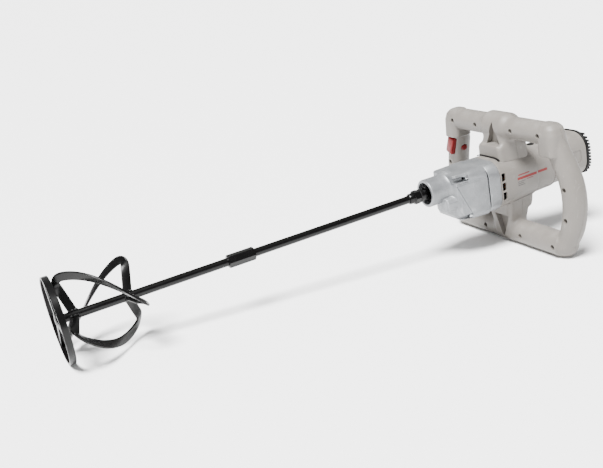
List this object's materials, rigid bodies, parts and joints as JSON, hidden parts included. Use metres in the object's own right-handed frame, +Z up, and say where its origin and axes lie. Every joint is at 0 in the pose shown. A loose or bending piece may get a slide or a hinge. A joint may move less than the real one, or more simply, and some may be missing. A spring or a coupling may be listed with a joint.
{
  "type": "drill paint mixer",
  "caption": "Two-handled electric paint and plaster mixer with a geared spindle, a long screwed stirring rod, helical blades and a hoop, lying on its side rest.",
  "frame": {"origin": "centre of the base of the bounding box, on the surface that the tool lies on", "axes": "+X from the motor towards the mixing head, +Y towards the side of the plain grip, +Z up"},
  "size_m": [0.881, 0.317, 0.2133],
  "materials": {
    "cast_aluminium": "satin",
    "grey_plastic": "satin",
    "black_painted_steel": "gloss",
    "black_plastic": "matte",
    "red_plastic": "satin",
    "bright_steel": "satin",
    "dark_steel": "satin",
    "copper": "satin",
    "carbon": "matte"
  },
  "bodies": {
    "housing": {"gear_case": "cast_aluminium", "gear_case_cover": "cast_aluminium", "case_screw_1": "bright_steel", "case_screw_2": "bright_steel", "case_screw_3": "bright_steel", "case_screw_4": "bright_steel", "motor_housing": "grey_plastic", "rear_cap": "grey_plastic", "vent_grille": "black_plastic", "stator_core": "dark_steel", "field_coil_1": "copper", "field_coil_2": "copper", "armature_front_bearing": "bright_steel", "armature_rear_bearing": "bright_steel", "brush_holder_1": "black_plastic", "brush_1": "carbon", "brush_holder_2": "black_plastic", "brush_2": "carbon", "layshaft_front_bush": "dark_steel", "layshaft_rear_bush": "dark_steel", "spindle_front_bearing": "bright_steel", "spindle_rear_bush": "dark_steel", "oil_seal": "black_plastic", "handle_front_shell": "grey_plastic", "handle_rear_shell": "grey_plastic", "handle_screw_1": "dark_steel", "handle_screw_2": "dark_steel", "handle_screw_3": "dark_steel", "handle_screw_4": "dark_steel", "handle_screw_5": "dark_steel", "handle_screw_6": "dark_steel", "handle_screw_7": "dark_steel", "handle_screw_8": "dark_steel", "handle_screw_9": "dark_steel", "handle_screw_10": "dark_steel", "handle_screw_11": "dark_steel", "handle_screw_12": "dark_steel", "switch_body": "black_plastic", "cord_gland": "black_plastic"},
    "spindle": {"output_spindle": "black_painted_steel", "output_gear": "bright_steel", "adapter_nut": "black_painted_steel", "upper_rod": "black_painted_steel", "hex_coupling": "black_painted_steel", "lower_rod": "black_painted_steel", "blade_1": "black_painted_steel", "blade_2": "black_painted_steel", "blade_3": "black_painted_steel", "hoop": "black_painted_steel", "hoop_spider": "black_painted_steel"},
    "layshaft": {"layshaft": "bright_steel", "first_gear": "bright_steel"},
    "armature": {"armature_shaft": "bright_steel", "armature_core": "dark_steel", "commutator": "copper", "cooling_fan": "black_plastic"},
    "trigger": {"trigger": "red_plastic"},
    "lock_button": {"lock_button": "red_plastic"}
  },
  "joints": [
    {"name": "spindle_spin", "type": "hinge", "parent": "housing", "child": "spindle", "pos_m": [-0.1375, 0, 0.11026], "axis": [0.9963, 0, -0.0862], "continuous": true},
    {"name": "layshaft_spin", "type": "hinge", "parent": "housing", "child": "layshaft", "pos_m": [-0.21884, 0.01532, 0.09827], "axis": [0.9963, 0, -0.0862], "continuous": true},
    {"name": "armature_spin", "type": "hinge", "parent": "housing", "child": "armature", "pos_m": [-0.29829, 0, 0.10812], "axis": [0.9963, 0, -0.0862], "continuous": true},
    {"name": "trigger_squeeze", "type": "slide", "parent": "housing", "child": "trigger", "axis": [-0.9963, 0, 0.0862], "range_m": [0, 0.005], "stiffness_N_per_m": 1200},
    {"name": "lock_press", "type": "slide", "parent": "housing", "child": "lock_button", "axis": [0, -1, 0], "range_m": [0, 0.0025], "stiffness_N_per_m": 800}
  ],
  "couplings": [
    {"joint": "layshaft_spin", "follows": "armature_spin", "ratio": -0.17073},
    {"joint": "spindle_spin", "follows": "armature_spin", "ratio": 0.05122}
  ]
}
